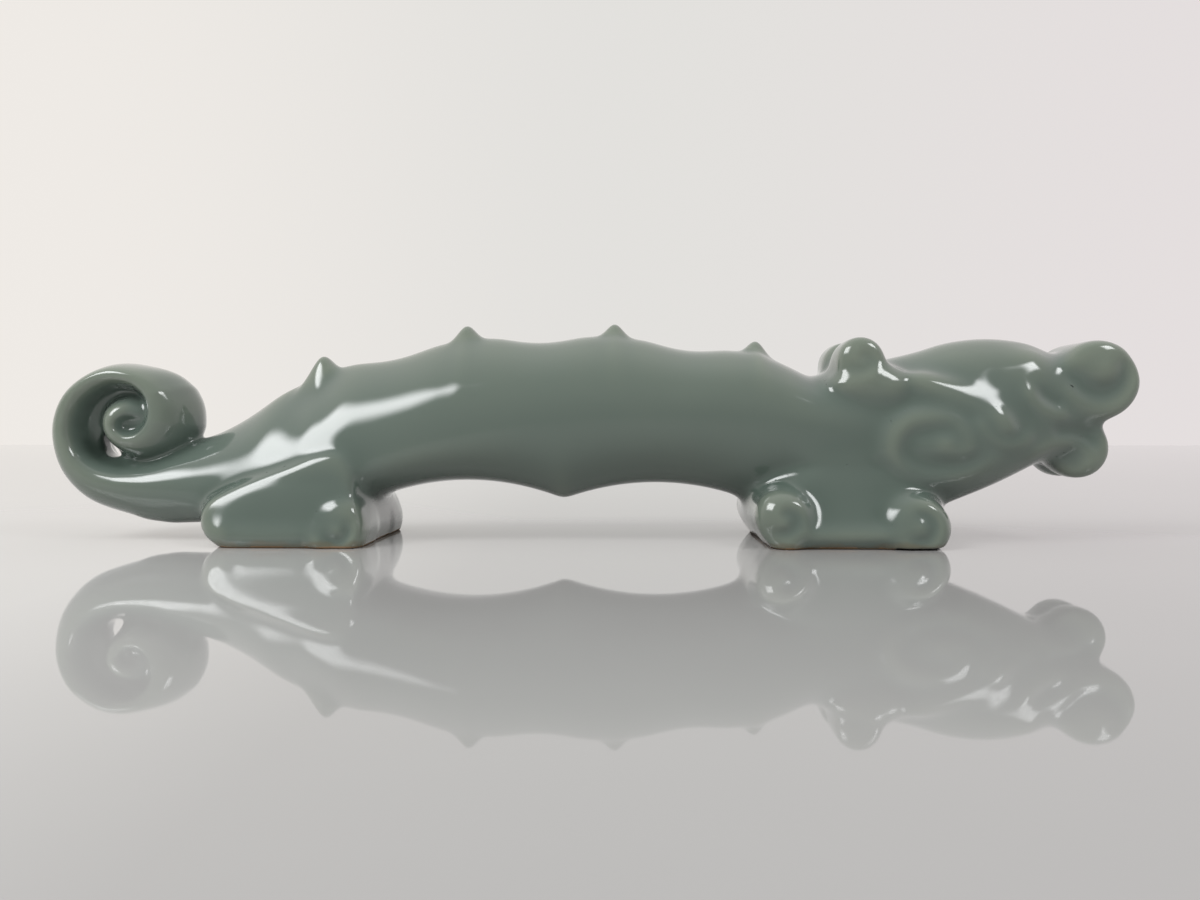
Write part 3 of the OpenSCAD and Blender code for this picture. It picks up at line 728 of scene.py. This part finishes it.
stroke(hollows, [(62.9, 23.6), (63.1, 22.0), (64.4, 20.8), (66.6, 20.3), (68.4, 20.9),
                 (69.5, 22.2), (69.7, 23.8), (69.0, 25.0)], 1.3, 0.55)
stroke(ridges, [(61.8, 21.6), (62.7, 19.7), (64.4, 18.4), (66.7, 17.9),
                (69.0, 18.6), (70.7, 20.6), (71.2, 22.6)], 0.9, 0.2)
stroke(ridges, [(-47.0, 1.4), (-42, 1.3), (-38.2, 1.4)], 1.2, 0.15)
stroke(ridges, [(-49.8, 6.6), (-51.0, 4.6), (-50.2, 2.8), (-47.8, 1.7)], 1.1, 0.2)
stroke(ridges, [(25.6, 1.3), (31.9, 1.3), (35.2, 1.6), (36.8, 2.6)], 1.2, 0.3)
stroke(hollows, [(36.0, 5.0), (36.2, 3.6), (36.4, 2.2)], 0.9, 0.2)
knobs = [(24.0, 4.1, 1.1, 0.35), (40.9, 2.8, 1.1, 0.35), (-33.6, 2.1, 0.9, 0.4),
         (34.9, 24.2, 1.0, 0.3), (44.9, 13.5, 1.4, 0.5), (66.8, 23.2, 1.7, 0.45),
         (64.8, 11.8, 1.0, 0.2), (57.6, 24.8, 3.0, 0.5), (52.4, 16.2, 1.3, 0.2)]

# %% [markdown]
# All the lines are laid on one sheet of heights, seen from the side: ridges are added to it
# and hollows taken away. Each line fades at both ends, as it does when a tool is lifted.

# %% The lines as one sheet of heights
relief_sheet = Sheet(-55, 76, -2, 30)
sheet_x, sheet_z = relief_sheet.px, relief_sheet.pz
relief = np.zeros(len(sheet_x))


def near_line(line, margin):
    (x0, z0), (x1, z1) = line.min(axis=0) - margin, line.max(axis=0) + margin
    return np.flatnonzero((sheet_x > x0) & (sheet_x < x1) & (sheet_z > z0) & (sheet_z < z1))


def swell_step(v, a, b):
    t = np.clip((v - a) / (b - a), 0, 1)
    return t * t * (3 - 2 * t)


for kind, sign in ((hollows, -1), (ridges, 1)):
    total = np.zeros_like(relief)
    for line, wide, high in kind:
        spots = near_line(line, 3.2 * wide.max())
        away, place, _, _ = to_line(sheet_x[spots], sheet_z[spots], line)
        reach = np.interp(place, np.arange(len(wide)), wide)
        share = place / (len(wide) - 1)
        fade = swell_step(share, -0.05, 0.14) * swell_step(1 - share, -0.05, 0.14)
        bump = high * fade * np.exp(-(away / reach) ** 2)
        total[spots] = np.maximum(total[spots], bump)
    relief += sign * total
for x, z, r, high in knobs:
    relief += high * np.exp(-((sheet_x - x) ** 2 + (sheet_z - z) ** 2) / r ** 2)
print("relief from", round(float(relief.min()), 2), "to", round(float(relief.max()), 2), "mm")


def side_relief(x, y, z):
    return relief_sheet.read(relief, x, z) * swell_step(np.abs(y), 3.0, 5.2)


# %% [markdown]
# Now every form has a depth, and they are melted together in the order in which a potter
# would join them. Each has its own fillet: wide where a foot meets the body, narrow round a
# curl. Clay that two of them share stays with the earlier one, and a later piece owns what
# stands out of it. In a fillet, the nearest piece owns the clay.
# A small bridge of clay joins the two mane locks over the neck, and belongs to what it is on.

# %% All the clay as one depth
OWNERS = ["body", "head", "rear_foot", "front_foot", "haunch", "rear_paw_curl",
          "front_foot_back_curl", "front_foot_toe_curl", "mane_lock", "cheek_scroll", "brow",
          "eye", "nose_scroll", "chin_curl", "tail_scroll", "tail_tip", "rear_sole", "front_sole"]
NUMBER = {name: i + 1 for i, name in enumerate(OWNERS)}
forms = [
    ("rear_foot", 3.6, (-52.6, -30.5, -12, 1, 0, 8.6), rear_foot_depth),
    ("front_foot", 5.0, (20.9, 45.3, -12, 1, 0, 10.6), front_foot_depth),
    ("haunch", 3.6, *thigh),
    ("rear_paw_curl", 1.2, *rear_curl),
    ("front_foot_back_curl", 2.4, *back_curl),
    ("front_foot_toe_curl", 2.8, *toe_curl),
    ("cheek_scroll", 2.2, *cheek),
    ("brow", 2.2, *brow),
    ("eye", 1.2, *eye),
    ("mane_lock", 2.2, *mane_lobe),
    ("mane_lock", 2.0, *mane_roll),
    ("nose_scroll", 2.6, *nose_roll),
    ("chin_curl", 1.8, *chin_roll),
]


def clay_depth(x, y, z):
    """Depth of all the clay at each point, and the number of the piece it belongs to."""
    y = -np.abs(y)
    depth = long_form(x, y, z)
    spots = np.flatnonzero((x > 29) & (x < 40) & (z > 18))
    depth[spots] = melt(depth[spots], mane_bridge(x[spots], y[spots], z[spots]), 2.0)
    rank = np.where(depth < 0, -1000.0, depth)
    owner = np.where(x < 38, NUMBER["body"], NUMBER["head"])

    def claim(name, spots, own, turn, allowed=True):
        """Gives a form the points where its rank is lowest: its turn inside, its depth outside."""
        own_rank = np.where(own < 0, turn, own)
        win = (own_rank < rank[spots]) & allowed
        rank[spots[win]], owner[spots[win]] = own_rank[win], NUMBER[name]

    spots = np.flatnonzero(x < -54)
    if len(spots):
        u, v, w = x[spots], y[spots], z[spots]
        turn_a, turn_b, turn_c = (strap_depth(run, u, v, w) for run in runs)
        on_root = swell_step(-u, 64.3, 67.6)
        low_part = turn_a * on_root + depth[spots] * (1 - on_root)
        fold = 0.05 + 1.45 * swell_step(u, -70.5, -67.5)
        turns = melt(np.minimum(turn_b, turn_c), web(u, v, w), 1.8)
        turns = melt(turns, core(u, v, w), 1.6)
        depth[spots] = melt(low_part, turns, fold)
        rank[spots] = np.where(u < -66, 1e3, rank[spots])
        claim("tail_scroll", spots, np.minimum(np.minimum(turn_a, turn_b), web(u, v, w)), -900.0)
        claim("tail_tip", spots, np.minimum(turn_c, core(u, v, w)), -800.0)
    for step, (name, fillet, box, part_depth) in enumerate(forms):
        margin = fillet + 2.5
        near = ((x > box[0] - margin) & (x < box[1] + margin) & (y > box[2] - margin)
                & (z > box[4] - margin) & (z < box[5] + margin))
        spots = np.flatnonzero(near)
        if len(spots):
            own = part_depth(x[spots], y[spots], z[spots])
            depth[spots] = melt(depth[spots], own, fillet)
            claim(name, spots, own, -700.0 + 10 * step, y[spots] < box[3])
    spots = np.flatnonzero((x > -56) & (y < -3))
    depth[spots] -= side_relief(x[spots], y[spots], z[spots])
    return depth, owner


# %% [markdown]
# The depth is now read on a fine grid, and then the glaze is laid over it: a soft average of
# the depth over half a millimetre, which is what thick glaze does to clay. It fills each crease
# and rounds each edge, and leaves the broad shape where it was. Only then the underside is cut
# level, because the rest was ground flat to stand firm.

# %% Read the depth on a grid
STEP = 0.3
grid_x = np.arange(-78.0, 75.6, STEP)
grid_y = np.arange(-14.85, 0, STEP)
grid_z = np.arange(-2.55, 32.6, STEP)
shape = (len(grid_x), len(grid_y), len(grid_z))
clay = np.empty(shape)
owner_of = np.zeros(shape, np.int16)
for first in range(0, shape[0], 60):
    part_x = grid_x[first:first + 60]
    gx, gy, gz = (v.ravel() for v in np.meshgrid(part_x, grid_y, grid_z, indexing="ij"))
    values, owners = clay_depth(gx, gy, gz)
    block_shape = (len(part_x), *shape[1:])
    clay[first:first + 60] = values.reshape(block_shape)
    owner_of[first:first + 60] = owners.reshape(block_shape)
SOLE_HIGH = 0.3
on_sole = (grid_z < SOLE_HIGH)[None, None, :]
rear_half = (grid_x < 0)[:, None, None]
owner_of = np.where(on_sole, np.where(rear_half, NUMBER["rear_sole"], NUMBER["front_sole"]),
                    owner_of)
print("grid", shape)

# %% [markdown]
# Only the half that the photo shows was worked out, and the other half is its mirror image.
# The pieces that come in pairs get a second number there. Then the glaze goes on as a soft
# average, and a wider average is kept beside it to find out later where glaze gathers.

# %% The other half is its mirror image
PAIRED = {"haunch", "rear_paw_curl", "front_foot_back_curl", "front_foot_toe_curl", "mane_lock",
          "cheek_scroll", "brow", "eye", "chin_curl"}
LEFT = 50
lift = np.zeros(len(OWNERS) + 1, np.int16)
for name in PAIRED:
    lift[NUMBER[name]] = LEFT
far_owner = owner_of + lift[owner_of]
owner_of = np.concatenate([owner_of, far_owner[:, ::-1]], axis=1)
clay = np.concatenate([clay, clay[:, ::-1]], axis=1)
origin = np.array([grid_x[0], grid_y[0], grid_z[0]])
shape = owner_of.shape


# %% Lay the glaze over the clay
def average(grid, reach):
    """A soft average over a distance, one direction after the other."""
    cells = int(np.ceil(3 * reach / STEP))
    weights = np.exp(-0.5 * (np.arange(-cells, cells + 1) * STEP / reach) ** 2)
    weights /= weights.sum()
    for axis in range(3):
        pad = [(0, 0)] * 3
        pad[axis] = (cells, cells)
        wide = np.pad(grid, pad, mode="reflect", reflect_type="odd")
        grid = sum(w * np.take(wide, np.arange(i, i + shape[axis]), axis=axis)
                   for i, w in enumerate(weights))
    return grid


def read_grid(grid, p):
    """A smooth reading of a grid at any points."""
    f = (p - origin) / STEP
    near = np.clip(np.rint(f).astype(int), 1, np.array(shape) - 2)
    w = np.stack(soft_weights(np.clip(f - near, -0.5, 0.5)))
    flat = grid.ravel()
    total = 0
    for a in range(3):
        for b in range(3):
            for c in range(3):
                spot = ((near[:, 0] + a - 1) * shape[1] + near[:, 1] + b - 1) * shape[2]
                total = total + w[a, :, 0] * w[b, :, 1] * w[c, :, 2] * flat[spot + near[:, 2] + c - 1]
    return total


def level(x, y):
    """The ground, with the toe end lifted a little off it."""
    return 0.22 * swell_step(x, 37.4, 38.4) * swell_step(np.abs(y), 7.5, 9.5)


GLAZE_REACH, BED_REACH, SOLE_EDGE = 0.5, 1.5, 0.5
skin = average(clay, GLAZE_REACH)
bed = average(clay, BED_REACH)


def skin_depth(p):
    return trim(read_grid(skin, p), level(p[:, 0], p[:, 1]) - p[:, 2], SOLE_EDGE)


full_y = np.concatenate([grid_y, -grid_y[::-1]])
ground = level(*np.meshgrid(grid_x, full_y, indexing="ij"))[:, :, None] - grid_z
inside_depth = trim(skin, ground, SOLE_EDGE)
owner_of = np.where(inside_depth < 0, owner_of, 0)
print("points inside the skin:", int((owner_of > 0).sum()))


# %% [markdown]
# The pieces have to meet without a gap, also inside, where two lumps of clay share a wall. So
# all of them are drawn on one net: a corner in each cell of the grid that the skin or a wall
# passes through, and a four-sided face across each grid edge where the owner changes. Then
# each corner on the skin is moved onto it exactly, so that no step shows in the gloss.

# %% One corner in each cell that the skin or a wall passes through
edges = []
for axis in range(3):
    low_side, high_side = [slice(None)] * 3, [slice(None)] * 3
    low_side[axis], high_side[axis] = slice(0, -1), slice(1, None)
    a, b = owner_of[tuple(low_side)], owner_of[tuple(high_side)]
    spots = np.argwhere(a != b)
    i, j, k = spots.T
    owner_a, owner_b = a[i, j, k], b[i, j, k]
    d_a = inside_depth[tuple(low_side)][i, j, k]
    d_b = inside_depth[tuple(high_side)][i, j, k]
    outer = (owner_a == 0) | (owner_b == 0)
    part_way = np.where(outer, np.clip(d_a / np.where(outer, d_a - d_b, 1), 0, 1), 0.5)
    where = origin + spots * STEP
    where[:, axis] += part_way * STEP
    other, third = (axis + 1) % 3, (axis + 2) % 3
    cells = []
    for back_other, back_third in ((0, 0), (1, 0), (1, 1), (0, 1)):
        corner = spots.copy()
        corner[:, other] -= back_other
        corner[:, third] -= back_third
        cells.append((corner[:, 0] * shape[1] + corner[:, 1]) * shape[2] + corner[:, 2])
    edges.append((np.stack(cells, 1), owner_a, owner_b, outer, where))
quad_cells, owner_a, owner_b, is_outer, crossing = (np.concatenate(v) for v in zip(*edges))
cell_names, quads = np.unique(quad_cells.ravel(), return_inverse=True)
quads = quads.reshape(-1, 4)
count = len(cell_names)
on_skin = np.bincount(quads[is_outer].ravel(), minlength=count) > 0
weight = np.where(is_outer[:, None], 1.0, np.where(on_skin[quads], 0.0, 1.0))
total = np.bincount(quads.ravel(), weight.ravel(), count)
corners = np.stack([np.bincount(quads.ravel(), (weight * crossing[:, k:k + 1]).ravel(), count)
                    for k in range(3)], 1) / total[:, None]
print("corners:", count, "of them on the skin:", int(on_skin.sum()))


# %% Settle the skin exactly on its depth, and find which way it faces
def facing(p, reach=0.12):
    slopes = [skin_depth(p + reach * np.eye(3)[k]) - skin_depth(p - reach * np.eye(3)[k])
              for k in range(3)]
    g = np.stack(slopes, 1) / (2 * reach)
    size = np.linalg.norm(g, axis=1, keepdims=True) + 1e-9
    return g / size, size[:, 0]


settled = corners[on_skin]
start = settled.copy()
for _ in range(2):
    normal, size = facing(settled)
    move = skin_depth(settled) / np.maximum(size, 0.5)
    settled = settled - normal * np.clip(move, -0.15, 0.15)[:, None]
settled = start + np.clip(settled - start, -0.28, 0.28)
normal, _ = facing(settled)
corners[on_skin] = settled
normals = np.zeros_like(corners)
normals[on_skin] = normal
left_out = np.abs(skin_depth(settled))
print("largest step left after settling, mm:", round(float(left_out.max()), 3))

# %% [markdown]
# Glaze is thin and pale on a ridge and thick and deep in a hollow. A wider average of the clay
# lies under the skin on a ridge and over it in a hollow, so the gap between the two averages
# says how the glaze pools. It is kept on the mesh as one attribute, which the glaze reads.

# %% How the glaze pools
POOL, POOL_GAIN = "glaze pool", 2.1
pool = np.zeros(count)
pool[on_skin] = np.clip((read_grid(bed, settled) - read_grid(skin, settled)) * POOL_GAIN, -1, 1)
print("pooling, tenth to ninetieth part:", np.round(np.percentile(pool[on_skin], (10, 90)), 2))

# %% [markdown]
# Celadon is a clear glaze over grey clay, coloured by a little iron. It is pale and slightly
# yellow where it runs thin, on ridges, and blue-green where it lies deep. Its colour is also
# painted paler high up and darker low down: painted light from above. Photos of glaze could
# be laid on, but a rule fits every side alike. Two node groups hold the effects: a slow
# clouding, which the glaze and the bare clay share, and fine pits.

# %% Shared effects as shader groups
def group_of(name, numbers, output):
    group = bpy.data.node_groups.new(name, "ShaderNodeTree")
    open_socket(group, "Place", "Vector")
    for title, value in numbers.items():
        open_socket(group, title, "Float", value)
    open_socket(group, output, "Float", side="OUTPUT")
    return group, add(group, "NodeGroupInput").outputs


clouding, given = group_of("slow clouding", {"Patch Scale": 90.0, "Strength": 0.1}, "Shift")
noise = add(clouding, "ShaderNodeTexNoise",
            {"Vector": given["Place"], "Scale": given["Patch Scale"], "Detail": 3})
centred = reckon(clouding, "SUBTRACT", noise.outputs["Fac"], 0.5)
add(clouding, "NodeGroupOutput", {"Shift": reckon(clouding, "MULTIPLY", centred, given["Strength"])})

pitting, given = group_of("fine pits", {"Pit Scale": 300.0, "Pit Size": 0.12}, "Pit")
grains = add(pitting, "ShaderNodeTexVoronoi",
             {"Vector": given["Place"], "Scale": given["Pit Scale"]}).outputs["Distance"]
add(pitting, "NodeGroupOutput",
    {"Pit": stretch(pitting, grains, 0, given["Pit Size"], 1, 0, soft=True)})


def placed(tree, group, place, **values):
    """One of the shared effects, laid out in the object's own coordinates."""
    named = {title.replace("_", " "): value for title, value in values.items()}
    return add(tree, "ShaderNodeGroup", {"Place": place, **named}, node_tree=group).outputs[0]


# %% The celadon glaze
glaze = bpy.data.materials.new("celadon glaze")
tree = fresh_tree(glaze)
place = add(tree, "ShaderNodeTexCoord").outputs["Object"]
height = add(tree, "ShaderNodeSeparateXYZ", {"Vector": place}).outputs["Z"]
pooled = add(tree, "ShaderNodeAttribute", attribute_name=POOL).outputs["Fac"]
cloud = placed(tree, clouding, place, Patch_Scale=70.0, Strength=0.22)
# painted light: the glaze colour is painted paler high up and darker low down, as light from above
# would make it
painted_light_above = stretch(tree, height, 0.004, 0.026, -0.3, 0.25)
thinness_and_painted_light = reckon(tree, "ADD", reckon(tree, "ADD", pooled, cloud), painted_light_above)
colour = ramp(tree, stretch(tree, thinness_and_painted_light, -1.0, 1.0),
              [(0, (0.085, 0.118, 0.098)), (0.3, (0.112, 0.148, 0.124)),
               (0.52, (0.130, 0.168, 0.143)), (0.72, (0.152, 0.188, 0.154)),
               (1, (0.205, 0.240, 0.190))], "B_SPLINE")
edge_cloud = placed(tree, clouding, place, Patch_Scale=260.0, Strength=0.0022)
near_sole = stretch(tree, reckon(tree, "ADD", height, edge_cloud), 0.0003, 0.0010, 1, 0, soft=True)
rust_and_painted_light = add(tree, "ShaderNodeMix",
            {"Factor": reckon(tree, "MULTIPLY", near_sole, 0.5), "A": colour,
             "B": (0.15, 0.115, 0.06, 1)}, data_type="RGBA").outputs["Result"]
rough = reckon(tree, "ADD", placed(tree, clouding, place, Patch_Scale=160.0, Strength=0.05), 0.10)
orange_peel = add(tree, "ShaderNodeTexNoise", {"Vector": place, "Scale": 420, "Detail": 1})
bump = add(tree, "ShaderNodeBump",
           {"Height": orange_peel.outputs["Fac"], "Strength": 0.05, "Distance": 0.0002})
gloss = add(tree, "ShaderNodeBsdfPrincipled",
            {"Base Color": rust_and_painted_light, "Roughness": rough, "Normal": bump.outputs["Normal"],
             "IOR": 1.52, "Coat Weight": 0.6, "Coat Roughness": 0.045})
add(tree, "ShaderNodeOutputMaterial", {"Surface": gloss.outputs["BSDF"]})
print("glaze:", len(tree.nodes), "nodes")

# %% [markdown]
# The soles were wiped clean of glaze before the firing, so that the rest wouldn't stick to
# the kiln shelf. Bare clay with iron in it burns to a brown that wanders from dark to warm,
# and its grain keeps it dull.

# %% The bare clay under the feet
bare = bpy.data.materials.new("bare clay")
tree = fresh_tree(bare)
place = add(tree, "ShaderNodeTexCoord").outputs["Object"]
flash = placed(tree, clouding, place, Patch_Scale=160.0, Strength=1.4)
burnt = ramp(tree, reckon(tree, "ADD", flash, 0.5),
             [(0, (0.125, 0.075, 0.04)), (1, (0.36, 0.235, 0.13))])
grit = placed(tree, pitting, place, Pit_Scale=1400.0, Pit_Size=0.35)
bump = add(tree, "ShaderNodeBump", {"Height": grit, "Strength": 0.5, "Distance": 0.0002},
           invert=True)
dull = add(tree, "ShaderNodeBsdfPrincipled",
           {"Base Color": burnt, "Roughness": reckon(tree, "MULTIPLY_ADD", grit, 0.1, 0.78),
            "Normal": bump.outputs["Normal"], "IOR": 1.45})
add(tree, "ShaderNodeOutputMaterial", {"Surface": dull.outputs["BSDF"]})
print("bare clay:", len(tree.nodes), "nodes")

# %% [markdown]
# The skin is parted into one closed mesh for each clay piece. A corner that two pieces share
# keeps the same place and faces the same way in both, so no seam shows in the gloss, as on the
# real rest, where the glaze covers every join.

# %% One closed mesh for each piece
def clay_piece(name, number, material):
    mine = (owner_a == number) | (owner_b == number)
    loops = quads[mine]
    turned_round = owner_b[mine] == number
    loops[turned_round] = loops[turned_round][:, ::-1]
    open_side = is_outer[mine]
    used, index = np.unique(loops.ravel(), return_inverse=True)
    spots = corners[used].copy()
    spots[:, 0] += MIDDLE
    mesh = bpy.data.meshes.new(name)
    mesh.vertices.add(len(used))
    mesh.vertices.foreach_set("co", (spots * MM).ravel())
    mesh.loops.add(len(index))
    mesh.loops.foreach_set("vertex_index", index.astype(np.int32).ravel())
    mesh.polygons.add(len(loops))
    mesh.polygons.foreach_set("loop_start", np.arange(0, len(index), 4, dtype=np.int32))
    mesh.polygons.foreach_set("use_smooth", np.ones(len(loops), bool))
    mesh.update(calc_edges=True)
    mesh.materials.append(material)
    own = mesh.attributes.new(POOL, "FLOAT", "POINT")
    own.data.foreach_set("value", pool[used].astype(np.float32))
    quad_spots = corners[loops]
    across = np.cross(quad_spots[:, 2] - quad_spots[:, 0], quad_spots[:, 3] - quad_spots[:, 1])
    flat = across / (np.linalg.norm(across, axis=1, keepdims=True) + 1e-12)
    way = np.where(open_side[:, None, None], normals[loops], flat[:, None, :])
    mesh.normals_split_custom_set(way.reshape(-1, 3).tolist())
    return new_object(name, mesh)


dressed = set()
for name in OWNERS:
    material = bare if name.endswith("sole") else glaze
    for side, number in ((("_right", NUMBER[name]), ("_left", NUMBER[name] + LEFT))
                         if name in PAIRED else (("", NUMBER[name]),)):
        node = name + side
        piece = clay_piece(node + "_skin", number, material)
        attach(piece, "root")
        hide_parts(node)
        dressed.add(node)
        print(node, "has", len(piece.data.polygons), "faces")
print("nodes without a skin:", set(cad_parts) - dressed or "none")

# %% [markdown]
# The last step prints the box of the finished skin.

# %% The box of the finished skin
low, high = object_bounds()
print("visual box in mm:", [round(v / MM, 2) for v in (*low, *high)])
